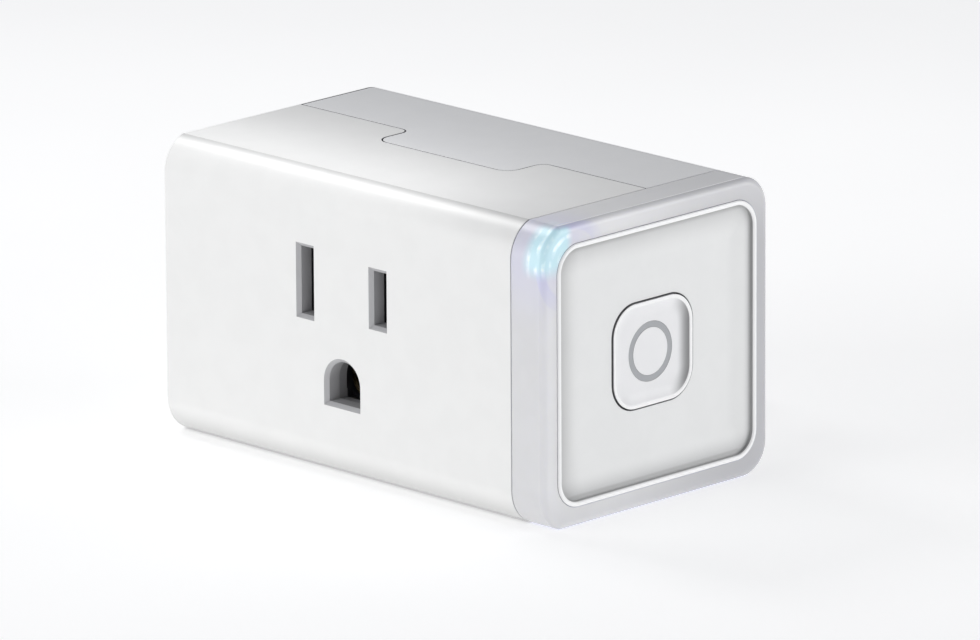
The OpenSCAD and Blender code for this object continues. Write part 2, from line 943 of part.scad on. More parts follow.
module transformer_core() {
    color([0.25, 0.25, 0.27])
        difference() {
            block([11.2, board_front - 13, 5.6], [20.4, board_front - 1.7, 11]);
            for (x = [12.8, 17.1])
                block([x, board_front - 11.2, 5], [x + 1.7, board_front - 3.5, 12]);
        }
}

module transformer_winding() {
    color([0.9, 0.75, 0.2])
        difference() {
            block([12.9, board_front - 11, 3.4], [18.7, board_front - 3.7, 13.2]);
            block([14.4, board_front - 12, 5.5], [17.2, board_front, 11.1]);
        }
}

module can(x, z, r, y0, y1) {
    rod_y(min(y0, y1), max(y0, y1), x, z, r);
}

module bulk_capacitor() {
    color([0.15, 0.16, 0.2])
        difference() {
            can(16.2, -8.2, 4.5, board_front - 15.8, board_front - 0.1);
            for (a = [0, 90])
                translate([16.2, board_front - 15.8, -8.2])
                    rotate([0, a, 0])
                        cube([6, 0.4, 0.4], center = true);
        }
}

module output_capacitor() {
    color([0.15, 0.16, 0.2])
        can(16.2, -8.2, 3.15, board_back + 0.1, board_back + 8.4);
}

module film_capacitor() {
    color([0.85, 0.65, 0.15])
        block([-28, board_back + 1.1, -6], [-22, board_back + 9.6, 7]);
}

module varistor() {
    color([0.15, 0.3, 0.6])
        rod_x(-19.2, -15.4, board_back + 4.9, 8, 4.7);
}

module fuse_resistor() {
    color([0.35, 0.5, 0.4])
        translate([-14, board_back + 2.9, -12])
            cylinder(h = 9, r = 1.8);
}

module choke() {
    color([0.3, 0.3, 0.32])
        can(18.3, -0.6, 2.6, board_back + 0.1, board_back + 7.6);
}

module bridge_rectifier() {
    color([0.1, 0.1, 0.11])
        block([12.2, board_back + 0.1, 7.6], [16.8, board_back + 2.3, 12.4]);
}

module power_chip() {
    color([0.1, 0.1, 0.11])
        block([11.8, board_back + 0.1, -3], [15.4, board_back + 1.7, 2]);
}

// ---------- Control board ----------

function header_z(i) = (i - 2.5) * header_pitch;

module control_board() {
    color([0.12, 0.35, 0.2])
        difference() {
            block([control_board_x, front_y + 4.2, -14.6], [control_board_right, -3.4, 14.6]);
            for (i = [0:5])
                rod_x(control_board_x - over, control_board_right + over, header_y, header_z(i), 0.5);
        }
}

module header_block() {
    color([0.1, 0.1, 0.11])
        difference() {
            block([22.4, header_y - 1.2, header_z(0) - 1.27],
                [control_board_x - 0.1, board_front - 0.1, header_z(5) + 1.27]);
            for (i = [0:5])
                rod_x(21, control_board_x + over, header_y, header_z(i), 0.35);
        }
}

module header_pins() {
    color([0.8, 0.7, 0.35])
        for (i = [0:5]) {
            rod_x(header_x - 0.3, control_board_right + 1.2, header_y, header_z(i), 0.3);
            rod_y(header_y - 0.3, board_back + 1.1, header_x, header_z(i), 0.3);
        }
}

module radio_shield() {
    color([0.75, 0.76, 0.78])
        difference() {
            block([control_board_right + 0.05, front_y + 5.2, -13],
                [control_board_right + 2.3, front_y + 15.4, 3]);
            block([control_board_right - over, front_y + 5.5, -12.7],
                [control_board_right + 2, front_y + 15.1, 2.7]);
        }
}

module status_led() {
    color([0.95, 0.95, 0.85])
        block([control_board_right + 0.05, front_y + 4.6, 11.4],
            [control_board_right + 1.95, front_y + 7.4, 14.2]);
}

front_housing();
rear_housing();
light_ring();
end_panel();
button_cap();
button_ring_inlay();
contact_carrier();
neutral_contact();
line_contact();
ground_contact();
neutral_blade();
line_blade();
ground_pin();
blade_holder();
ground_strap();
power_board();
board_screws();
carrier_screws();
relay_base();
relay_cover();
relay_bobbin();
relay_coil();
relay_core();
relay_yoke();
relay_armature();
relay_contact();
relay_pins();
transformer_core();
transformer_winding();
transformer_base();
bulk_capacitor();
output_capacitor();
film_capacitor();
varistor();
fuse_resistor();
choke();
bridge_rectifier();
power_chip();
control_board();
radio_shield();
status_led();
header_block();
header_pins();
switch_body();
switch_plunger();
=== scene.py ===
"""Looks of the compact smart plug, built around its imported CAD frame. Metres throughout."""

import json
import math

import bmesh
import bpy
from mathutils import Matrix, Vector


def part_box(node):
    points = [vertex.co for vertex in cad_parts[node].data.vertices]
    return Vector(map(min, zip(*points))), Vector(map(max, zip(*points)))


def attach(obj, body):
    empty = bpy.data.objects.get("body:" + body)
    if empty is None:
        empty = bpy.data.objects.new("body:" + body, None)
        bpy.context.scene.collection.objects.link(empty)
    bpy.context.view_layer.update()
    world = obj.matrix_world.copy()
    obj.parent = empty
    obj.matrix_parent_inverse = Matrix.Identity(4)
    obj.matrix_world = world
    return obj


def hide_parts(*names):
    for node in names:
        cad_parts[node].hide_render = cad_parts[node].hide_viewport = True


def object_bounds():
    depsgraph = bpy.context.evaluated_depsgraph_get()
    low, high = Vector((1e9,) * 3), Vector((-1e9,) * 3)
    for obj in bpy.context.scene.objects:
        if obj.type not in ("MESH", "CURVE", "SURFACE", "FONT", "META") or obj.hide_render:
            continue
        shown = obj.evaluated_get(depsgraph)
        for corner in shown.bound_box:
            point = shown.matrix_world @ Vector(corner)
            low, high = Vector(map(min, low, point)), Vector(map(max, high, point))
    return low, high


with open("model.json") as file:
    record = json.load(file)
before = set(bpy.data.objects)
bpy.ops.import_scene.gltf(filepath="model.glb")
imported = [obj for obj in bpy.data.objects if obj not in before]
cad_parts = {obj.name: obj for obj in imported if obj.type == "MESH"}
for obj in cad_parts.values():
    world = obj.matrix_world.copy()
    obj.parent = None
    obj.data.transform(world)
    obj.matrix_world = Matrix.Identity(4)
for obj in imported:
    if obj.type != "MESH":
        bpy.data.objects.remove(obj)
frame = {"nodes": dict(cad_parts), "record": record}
cad_low, cad_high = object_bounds()
nodes = frame["nodes"]

MM = 0.001

# ---------- Sizes ----------
# Places come from the CAD boxes. Radii and widths that a box doesn't give repeat the CAD source.

front_low, front_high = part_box("front_housing")
rear_low, rear_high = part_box("rear_housing")
ring_low, ring_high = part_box("light_ring")
panel_low, panel_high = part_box("end_panel")
button_low, button_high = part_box("button_cap")
inlay_low, inlay_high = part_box("button_ring_inlay")
pin_low, pin_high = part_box("ground_pin")

LEFT = front_low.x
FRONT = front_low.y
BACK = rear_high.y
TOP = front_high.z
SHELL_RIGHT = front_high.x
RING_FACE = ring_high.x
BEZEL_FACE = panel_high.x

FRONT_RADIUS = 4.85 * MM
FRONT_BEND = 71
REAR_RADIUS = 4.1 * MM
END_RADIUS = 0.45 * MM
CREASE_Y = FRONT + FRONT_RADIUS * (1 - math.cos(math.radians(FRONT_BEND)))
WALL = 2 * MM
FRONT_WALL = 2.2 * MM
EDGE = 0.1 * MM
END_LIP = 0.5 * MM
GAP = 0.12 * MM
SEAM_GAP = 0.2 * MM

SEAM_LINE = -16 * MM
TAB_REACH = 6.1 * MM
TAB_HALF_WIDTH = 11.7 * MM
TAB_CORNER = 2.2 * MM
TAB_ROOT = 1.3 * MM

SLOT_Z = 5.2 * MM
SLOT_WIDTH = 2.2 * MM
SLOT_CHAMFER = 0.48 * MM
SLOTS = [(-6.35 * MM, 8.6 * MM), (6.35 * MM, 6.9 * MM)]
GROUND_Z = -6.7 * MM
GROUND_RADIUS = 2.7 * MM

RING_FILLET = 1 * MM
BEZEL_RADIUS = 3.55 * MM
BEZEL_WIDTH = 0.6 * MM
PANEL_STEP = 0.75 * MM
PANEL_DEPTH = 1.1 * MM
PANEL_SLOPE = 4 * MM
PANEL_FOOT = 0.3 * MM
PANEL_THICKNESS = 1.2 * MM

BUTTON_FLANGE = 1.2 * MM
BUTTON_HALF_Y = (button_high.y - button_low.y) / 2 - BUTTON_FLANGE
BUTTON_HALF_Z = button_high.z - BUTTON_FLANGE
BUTTON_RADIUS = 3.8 * MM
BUTTON_GAP = 0.2 * MM
BUTTON_RIM = 0.45 * MM
DISH_DEPTH = 0.55 * MM
DISH_SLOPE = 1.8 * MM
MARK_OUTER = 3.8 * MM
MARK_INNER = 2.99 * MM
MARK_GROOVE = 0.3 * MM

BLADE_SHOULDER = 0.9 * MM
PIN_RADIUS = 2.38 * MM
PIN_SHANK = 3.3 * MM
PIN_FLANGE = 3.6 * MM
FLANGE_BACK = -7.1 * MM
SHOULDER_FRONT = -8.6 * MM
CORNER_STEPS = 20
FILLET_STEPS = 6
RIB_DEPTH = 0.1 * MM

panel_y = (panel_low.y + panel_high.y) / 2
button_face = button_high.x


# ---------- Mesh helpers ----------


def add_object(name, mesh):
    piece = bpy.data.objects.new(name, mesh)
    bpy.context.scene.collection.objects.link(piece)
    return piece


def mesh_from(name, build):
    """A new object whose mesh the function build fills in."""
    bm = bmesh.new()
    build(bm)
    bmesh.ops.recalc_face_normals(bm, faces=bm.faces)
    mesh = bpy.data.meshes.new(name)
    bm.to_mesh(mesh)
    bm.free()
    return add_object(name, mesh)


def skin(name, sections, closed=False):
    """A skin over a row of outlines that have the same number of points. Its ends are capped unless the row closes."""

    def build(bm):
        rings = [[bm.verts.new(point) for point in section] for section in sections]
        pairs = list(zip(rings, rings[1:]))
        if closed:
            pairs.append((rings[-1], rings[0]))
        else:
            bm.faces.new(rings[0])
            bm.faces.new(rings[-1])
        for a, b in pairs:
            for i in range(len(a)):
                j = (i + 1) % len(a)
                bm.faces.new((a[i], a[j], b[j], b[i]))

    return mesh_from(name, build)


def prism(name, outline, place):
    """A straight solid with one flat outline at both ends; place turns an outline point into its two corners."""
    ends = [place(point) for point in outline]
    return skin(name, [[end[0] for end in ends], [end[1] for end in ends]])


def along_x(x0, x1):
    return lambda p: (Vector((x0, p[0], p[1])), Vector((x1, p[0], p[1])))


def along_y(y0, y1):
    return lambda p: (Vector((p[0], y0, p[1])), Vector((p[0], y1, p[1])))


def along_z(z0, z1):
    return lambda p: (Vector((p[0], p[1], z0)), Vector((p[0], p[1], z1)))


def box_outline(a0, b0, a1, b1):
    return [(a0, b0), (a1, b0), (a1, b1), (a0, b1)]


def arc(centre, radius, start, end, steps):
    """Points on an arc between two angles in degrees, both ends included."""
    angles = [math.radians(start + (end - start) * i / steps) for i in range(steps + 1)]
    return [(centre[0] + radius * math.cos(a), centre[1] + radius * math.sin(a)) for a in angles]


def rounded_outline(y0, y1, half_z, front_radius, rear_radius, front_centre=None):
    """A rounded rectangle in Y and Z, centred on Z = 0. A front arc whose centre is set higher meets the top in a crease."""
    front_centre = half_z - front_radius if front_centre is None else front_centre
    bend = math.degrees(math.asin(min(1, (half_z - front_centre) / front_radius)))
    corners = [
        (y0 + front_radius, -front_centre, front_radius, 180, bend),
        (y1 - rear_radius, rear_radius - half_z, rear_radius, 270, 90),
        (y1 - rear_radius, half_z - rear_radius, rear_radius, 0, 90),
        (y0 + front_radius, front_centre, front_radius, 180 - bend, bend),
    ]
    points = []
    for y, z, radius, start, turn in corners:
        points += arc((y, z), radius, start, start + turn, CORNER_STEPS)
    return points


def body_section(x, front, back=None, top=None):
    """The body's outline at one X, moved inwards at the front, back and top."""
    back = front if back is None else back
    top = front if top is None else top
    radii = (FRONT_RADIUS - front, REAR_RADIUS - back)
    centre = TOP - FRONT_RADIUS * math.sin(math.radians(FRONT_BEND))
    outline = rounded_outline(FRONT + front, BACK - back, TOP - top, *radii, centre)
    return [Vector((x, y, z)) for y, z in outline]


def pad_section(x, half_y, half_z, radius):
    """A rounded rectangle at one X, centred on the end panel."""
    outline = rounded_outline(panel_y - half_y, panel_y + half_y, half_z, radius, radius)
    return [Vector((x, y, z)) for y, z in outline]


def button_section(x, grow):
    """The button's outline at one X, moved outwards."""
    return pad_section(x, BUTTON_HALF_Y + grow, BUTTON_HALF_Z + grow, BUTTON_RADIUS + grow)


def fillet(x_edge, radius, inwards, steps=FILLET_STEPS, crease=0):
    """(X, inset) pairs around a rounded edge, from the side wall to the end face, which looks to +X if inwards is -1."""
    first = math.radians(crease)
    pairs = []
    for i in range(steps + 1):
        a = first + (math.pi / 2 - first) * i / steps
        pairs.append((x_edge + inwards * radius * (1 - math.sin(a)), radius * (math.cos(first) - math.cos(a))))
    return pairs


def carve(piece, tool, operation="DIFFERENCE"):
    """Applies a boolean with another object, then removes that object."""
    modifier = piece.modifiers.new("carve", "BOOLEAN")
    modifier.object = tool
    modifier.operation = operation
    modifier.solver = "EXACT"
    apply_modifiers(piece)
    bpy.data.objects.remove(tool)
    return piece


def apply_modifiers(piece):
    graph = bpy.context.evaluated_depsgraph_get()
    graph.update()
    mesh = bpy.data.meshes.new_from_object(piece.evaluated_get(graph))
    piece.modifiers.clear()
    piece.data = mesh


def soften(piece, width, segments=3, angle=28):
    """Rounds the edges that are sharper than the angle."""
    modifier = piece.modifiers.new("edges", "BEVEL")
    modifier.width = width
    modifier.segments = segments
    modifier.limit_method = "ANGLE"
    modifier.angle_limit = math.radians(angle)
    modifier.use_clamp_overlap = True
    apply_modifiers(piece)


def smooth(piece, sharp_angle=17):
    """Smooth shading with flat faces kept flat."""
    mesh = piece.data
    mesh.polygons.foreach_set("use_smooth", [True] * len(mesh.polygons))
    mesh.set_sharp_from_angle(angle=math.radians(sharp_angle))
    modifier = piece.modifiers.new("normals", "WEIGHTED_NORMAL")
    modifier.keep_sharp = True
    modifier.weight = 80


# ---------- Materials ----------


class Nodes:
    """A material's node tree, with short calls for what the materials below share."""

    def __init__(self, name):
        self.material = bpy.data.materials.new(name)
        self.material.use_nodes = True
        self.tree = self.material.node_tree
        self.tree.nodes.clear()
        self.output = self.add("ShaderNodeOutputMaterial")
        self.shader = self.add("ShaderNodeBsdfPrincipled")
        self.link(self.shader.outputs["BSDF"], self.output.inputs["Surface"])
        self.place = self.add("ShaderNodeTexCoord").outputs["Object"]

    def add(self, kind, **settings):
        node = self.tree.nodes.new(kind)
        for key, value in settings.items():
            setattr(node, key, value)
        return node

    def link(self, output, socket):
        self.tree.links.new(output, socket)

    def feed(self, socket, value):
        """Links an output to a socket, or sets its value."""
        if isinstance(value, bpy.types.NodeSocket):
            self.link(value, socket)
        else:
            socket.default_value = value

    def math(self, operation, a, b=0.0, c=0.0, clamp=False):
        node = self.add("ShaderNodeMath", operation=operation, use_clamp=clamp)
        for socket, value in zip(node.inputs, (a, b, c)):
            self.feed(socket, value)
        return node.outputs[0]

    def ramp(self, value, from_low, from_high, to_low=0.0, to_high=1.0, smooth_step=True):
        node = self.add("ShaderNodeMapRange", interpolation_type="SMOOTHSTEP" if smooth_step else "LINEAR")
        for socket, number in zip(node.inputs[:5], (value, from_low, from_high, to_low, to_high)):
            self.feed(socket, number)
        return node.outputs[0]

    def noise(self, size, detail=3.0):
        """Noise whose grain is about that size in metres."""
        node = self.add("ShaderNodeTexNoise")
        self.link(self.place, node.inputs["Vector"])
        node.inputs["Scale"].default_value = 1 / size
        node.inputs["Detail"].default_value = detail
        return node.outputs[0]

    def mix(self, factor, a, b):
        node = self.add("ShaderNodeMix", data_type="RGBA")
        self.feed(node.inputs["Factor"], factor)
        self.feed(node.inputs[6], a)
        self.feed(node.inputs[7], b)
        return node.outputs[2]

    def bump(self, height, depth, strength=1.0):
        node = self.add("ShaderNodeBump")
        node.inputs["Strength"].default_value = strength
        node.inputs["Distance"].default_value = depth
        self.link(height, node.inputs["Height"])
        self.link(node.outputs[0], self.shader.inputs["Normal"])

    def split(self):
        """Object coordinates X, Y and Z."""
        node = self.add("ShaderNodeSeparateXYZ")
        self.link(self.place, node.inputs[0])
        return node.outputs

    def facing(self, towards):
        """Cosine between the surface's direction and another: 1 on faces that look that way."""
        normal = self.add("ShaderNodeNewGeometry").outputs["Normal"]
        product = self.add("ShaderNodeVectorMath", operation="DOT_PRODUCT")
        self.link(normal, product.inputs[0])
        product.inputs[1].default_value = towards
        return product.outputs["Value"]

    def darken(self, tone, where, amount):
        """Paints shade: takes that share of the tone away where the mask is 1."""
        return self.mix(self.math("MULTIPLY", where, amount), tone, colour(0, 0, 0))

    def crease_shade(self, y, z):
        """Mask for painted shade: 1 just under the front top crease, fading down the rounding."""
        below = self.ramp(z, TOP - CREASE_FADE, TOP)
        return self.math("MULTIPLY", below, self.math("LESS_THAN", y, CREASE_Y - 0.01 * MM))

    def mottled_with_crevice_shade(self, base, shade, crevice):
        """A base colour with faint blotches and painted shade in crevices, where it blends into the shade colour."""
        blotches = self.ramp(self.noise(4 * MM), 0.35, 0.65)
        tone = self.mix(blotches, colour(*[c * 0.985 for c in base]), colour(*base))
        return self.mix(self.crevice(crevice), colour(*shade), tone)

    def uneven(self, roughness):
        return self.ramp(self.noise(0.6 * MM), 0.3, 0.7, roughness * 0.94, roughness * 1.06)

    def plastic(self, tone, roughness, grain=0.012 * MM):
        """Finishes the material with its colour, roughness and grain."""
        self.link(tone, self.shader.inputs["Base Color"])
        self.link(roughness, self.shader.inputs["Roughness"])
        self.bump(self.noise(0.12 * MM, 2), grain, 0.25)
        return self.material

    def crevice(self, distance):
        """1 on open surfaces, less in corners and gaps of that size: the mask for painted crevice shade."""
        node = self.add("ShaderNodeAmbientOcclusion", samples=8)
        node.inputs["Distance"].default_value = distance
        return node.outputs["AO"]


def colour(r, g, b):
    return (r, g, b, 1.0)


def moulded(name, base, shade, roughness, grain=0.012 * MM, crevice=0.4 * MM):
    """Moulded plastic: faint mottling, fine grain, painted shade in its crevices."""
    n = Nodes(name)
    return n.plastic(n.mottled_with_crevice_shade(base, shade, crevice), n.uneven(roughness), grain)


def shell_white(name, base, shade, roughness):
    """The covers' plastic: moulded, with painted shade in crevices, painted soft shadows just under the front top
    crease and towards the floor, and painted shade towards the back.
    """
    n = Nodes(name)
    x, y, z = n.split()
    tone = n.mottled_with_crevice_shade(base, shade, 0.4 * MM)
    # Painted shade: under the front top crease, on faces turned towards the floor, and towards the back
    tone = n.darken(tone, n.crease_shade(y, z), CREASE_SHADOW)
    tone = n.darken(tone, n.ramp(n.facing(DOWN), 0.35, 1.0), UNDER_SHADOW)
    tone = n.darken(tone, n.ramp(y, FRONT + FRONT_RADIUS, BACK), BACK_SHADE)
    return n.plastic(tone, n.uneven(roughness))


def recess_white(name, base, roughness, crevice, rim, walls, edges=()):
    """A dished part's plastic, with painted shade in its crevices; past rim, an X, it is glossier and carries a
    painted highlight, near-white with a faint glow.

    walls: a direction, two cosines and a depth; walls turned that way get painted shade.
    edges: rows of an axis, where a painted shadow starts and ends on it, and its depth; it lies on the floor only.
    """
    n = Nodes(name)
    place = n.split()
    towards, first, last, depth = walls
    # Painted shade: in crevices and on walls turned the given way, then painted shadows along the floor's edges
    tone = n.darken(n.mottled_with_crevice_shade(base, RECESS_SHADE, crevice), n.ramp(n.facing(towards), first, last), depth)
    sunk = n.math("LESS_THAN", place[0], rim - 0.2 * MM)
    for axis, start, end, depth in edges:
        tone = n.darken(tone, n.math("MULTIPLY", n.ramp(place[axis], start, end), sunk), depth)
    # Past rim: glossier, and painted near-white with a faint glow, a painted highlight
    glossy_highlight = n.ramp(place[0], rim - 0.04 * MM, rim)
    tone = n.mix(glossy_highlight, tone, colour(0.95, 0.95, 0.95))
    n.shader.inputs["Emission Color"].default_value = colour(1, 1, 1)
    n.link(n.math("MULTIPLY", glossy_highlight, RIM_GLOW), n.shader.inputs["Emission Strength"])
    return n.plastic(tone, n.math("MULTIPLY", n.uneven(roughness), n.ramp(glossy_highlight, 0, 1, 1.0, 0.5)))


def socket_plastic(name, base, deep):
    """The socket block's plastic: grey at its mouth, like the slots' walls, and painted dark further in, where shade
    falls.
    """
    n = Nodes(name)
    x, y, z = n.split()
    # Painted shade: dark past the front wall's depth, starting deeper in the ground hole
    depth = n.math("SUBTRACT", n.math("SUBTRACT", y, FRONT), n.math("MULTIPLY", n.math("LESS_THAN", z, 0), GROUND_EXTRA))
    tone = n.mix(n.ramp(depth, FRONT_WALL, FRONT_WALL + 0.2 * MM), colour(*base), colour(*deep))
    return n.plastic(tone, n.uneven(0.5))


def metal(name, base, roughness, brushed=0.02 * MM, crevice=0.3 * MM):
    """Plated or bare metal with fine drawing lines, slight stains and painted shade in its crevices."""
    n = Nodes(name)
    stained = n.mix(n.ramp(n.noise(2.5 * MM), 0.3, 0.75), colour(*base), colour(*[c * 0.86 for c in base]))
    # Painted shade: crevices blend into a near-black copy of the base colour
    dark = colour(*[c * 0.15 for c in base])
    n.link(n.mix(n.crevice(crevice), dark, stained), n.shader.inputs["Base Color"])
    n.link(n.ramp(n.noise(0.5 * MM), 0.3, 0.7, roughness * 0.8, roughness * 1.2), n.shader.inputs["Roughness"])
    n.shader.inputs["Metallic"].default_value = 1.0
    wave = n.add("ShaderNodeTexWave", wave_type="BANDS", bands_direction="Z")
    n.link(n.place, wave.inputs["Vector"])
    wave.inputs["Scale"].default_value = 1 / (0.5 * MM)
    wave.inputs["Distortion"].default_value = 6
    n.bump(wave.outputs[0], brushed, 0.15)
    return n.material


def light_guide():
    """Frosted light guide: milky white, glowing cyan where its lamp shines at the front top corner; around it a
    lavender tint is painted lamp light, painted shade darkens its side band, bottom, back, creases and crevices, and a
    painted highlight line runs along its top edge.
    """
    n = Nodes("light_guide_frosted")
    centre_y = FRONT + FRONT_RADIUS
    centre_z = TOP - FRONT_RADIUS
    x, y, z = n.split()
    dy = n.math("SUBTRACT", y, centre_y)
    dz = n.math("SUBTRACT", z, centre_z)
    reach = n.math("SQRT", n.math("ADD", n.math("POWER", dy, 2), n.math("POWER", dz, 2)))
    # Distance from the shell along the skin: along X on the side, then inwards on the end face
    skin_run = n.math("ADD", n.math("SUBTRACT", x, SHELL_RIGHT), n.math("SUBTRACT", FRONT_RADIUS, reach))

    lit = n.ramp(skin_run, 1.5 * MM, 3.6 * MM)
    lit = n.math("MULTIPLY", lit, n.ramp(z, centre_z - 1.8 * MM, centre_z + 0.6 * MM))
    lit = n.math("MULTIPLY", lit, n.ramp(y, centre_y + 0.5 * MM, centre_y - 1.0 * MM))
    lit = n.math("MULTIPLY", lit, n.ramp(z, TOP, TOP - 0.5 * MM, 0.15, 1.0))
    # Painted lamp light: a lavender tint around the lamp's corner, strongest in one band, standing for its light
    # spreading through the guide
    halo = n.ramp(z, centre_z - 9 * MM, centre_z + 1 * MM)
    halo = n.math("MULTIPLY", halo, n.ramp(y, centre_y + 7 * MM, centre_y - 0.5 * MM))
    edge = n.math("MULTIPLY", n.ramp(skin_run, 4.0 * MM, 4.6 * MM), n.ramp(skin_run, 6.4 * MM, 5.6 * MM))
    halo = n.math("MULTIPLY", halo, n.ramp(edge, 0, 1, 0.45, 1.0))

    wave = n.math("SINE", n.math("MULTIPLY", skin_run, 2 * math.pi / (1.3 * MM)))
    swirl = n.ramp(n.noise(1.6 * MM, 2), 0.4, 0.75)
    streak = n.math("MULTIPLY", n.ramp(wave, -0.6, 1.0), swirl)
    milky = n.mix(n.ramp(n.noise(5 * MM), 0.35, 0.65), colour(0.83, 0.83, 0.845), colour(0.85, 0.85, 0.865))
    # Painted shade: darker on the side band than on the end face, darker towards the bottom, and greyer towards the
    # back below the top
    milky = n.darken(milky, n.ramp(x, RING_FACE - 0.1 * MM, RING_FACE - RING_FILLET), 0.14)
    milky = n.darken(milky, n.ramp(z, 6 * MM - TOP, -TOP), 0.14)
    far = n.math("MULTIPLY", n.ramp(y, FRONT + 10 * MM, BACK - 4 * MM), n.ramp(z, TOP, TOP - 9 * MM, 0.55, 1.0))
    milky = n.mix(far, milky, colour(0.56, 0.56, 0.58))
    tinted = n.mix(halo, milky, colour(0.68, 0.68, 0.90))
    # Painted shade under the front top crease and along the top of the end face's rounding, and a painted highlight
    # line on the top just before that crease
    cyan = n.darken(n.mix(lit, tinted, colour(0.60, 0.73, 0.78)), n.crease_shade(y, z), RING_CREASE)
    past_crease = n.math("GREATER_THAN", x, RING_CREASE_X)
    cyan = n.darken(cyan, n.math("MULTIPLY", n.ramp(z, TOP - 0.45 * MM, TOP), past_crease), RING_CREASE)
    on_top = n.math("GREATER_THAN", z, TOP - 0.01 * MM)
    cyan = n.mix(n.math("MULTIPLY", n.ramp(x, RING_CREASE_X - 0.35 * MM, RING_CREASE_X), on_top), cyan, colour(0.95, 0.95, 0.96))
    # Painted shade in crevices, a bluish grey
    n.link(n.mix(n.crevice(0.25 * MM), colour(0.6, 0.62, 0.8), cyan), n.shader.inputs["Base Color"])
    n.link(n.mix(streak, colour(0.06, 0.17, 0.2), colour(0.45, 0.45, 0.45)), n.shader.inputs["Emission Color"])
    n.link(lit, n.shader.inputs["Emission Strength"])
    n.shader.inputs["Roughness"].default_value = 0.25
    n.shader.inputs["Subsurface Weight"].default_value = 0.25
    n.shader.inputs["Subsurface Radius"].default_value = (1.2, 1.2, 1.5)
    n.shader.inputs["Subsurface Scale"].default_value = 1 * MM
    n.bump(n.noise(0.15 * MM, 2), 0.01 * MM, 0.2)
    return n.material


# Painted shade: the crevice shade tones, and how strongly painted shadows darken the covers under the front top
# crease, towards the floor and towards the back, and the ring at its creases
RECESS_SHADE = (0.34, 0.34, 0.36)
DOWN = (0, -0.25, -0.97)
CREASE_SHADOW = 0.3
CREASE_FADE = 0.7 * MM
RING_CREASE = 0.12
RING_CREASE_X = RING_FACE - RING_FILLET * (1 - math.cos(math.radians(FRONT_BEND))) + 0.01 * MM
UNDER_SHADOW = 0.28
BACK_SHADE = 0.1
WHITE = (0.87, 0.87, 0.86)
SHADE = (0.22, 0.22, 0.24)
# Painted shadow for the walls inside the seams and the prongs' passages
SEAM_SHADOW = moulded("seam_wall_shadow", (0.22, 0.22, 0.24), (0.1, 0.1, 0.11), 0.5)
# Painted shade for the chamfers and walls of the slots and the ground hole
MOUTH_SHADE = moulded("slot_wall_shade", (0.51, 0.51, 0.52), (0.36, 0.36, 0.37), 0.4)

# The end panel's and the button's painted shade: walls turned towards the front are darkened, painted shadows lie on
# the panel floor along its top, bottom and front edges, and RIM_GLOW is the faint glow of the rims' painted highlight
PANEL_BASE = (0.88, 0.885, 0.88)
PANEL_RIM = BEZEL_FACE - 0.2 * MM
PANEL_WALLS = ((0, -0.95, 0.3), 0.04, 0.8, 0.5)
INNER_Y = panel_low.y + BEZEL_WIDTH
INNER_Z = panel_high.z - BEZEL_WIDTH
PANEL_EDGES = [
    (2, INNER_Z - 0.9 * MM, INNER_Z, 0.38),
    (2, INNER_Z - 4 * MM, INNER_Z, 0.2),
    (2, 0.8 * MM - INNER_Z, 0.4 * MM - INNER_Z, 0.2),
    (2, 3 * MM - INNER_Z, -INNER_Z, 0.24),
    (1, INNER_Y + 4.5 * MM, INNER_Y + 0.1 * MM, 0.3),
]
BUTTON_BASE = (0.91, 0.91, 0.92)
BUTTON_TOP = button_face - 0.05 * MM
BUTTON_WALLS = ((0, -1, 0.1), 0.0, 0.5, 0.68)
RIM_GLOW = 0.07
# In the ground hole, the socket block's painted dark starts this much deeper
GROUND_EXTRA = 1.4 * MM

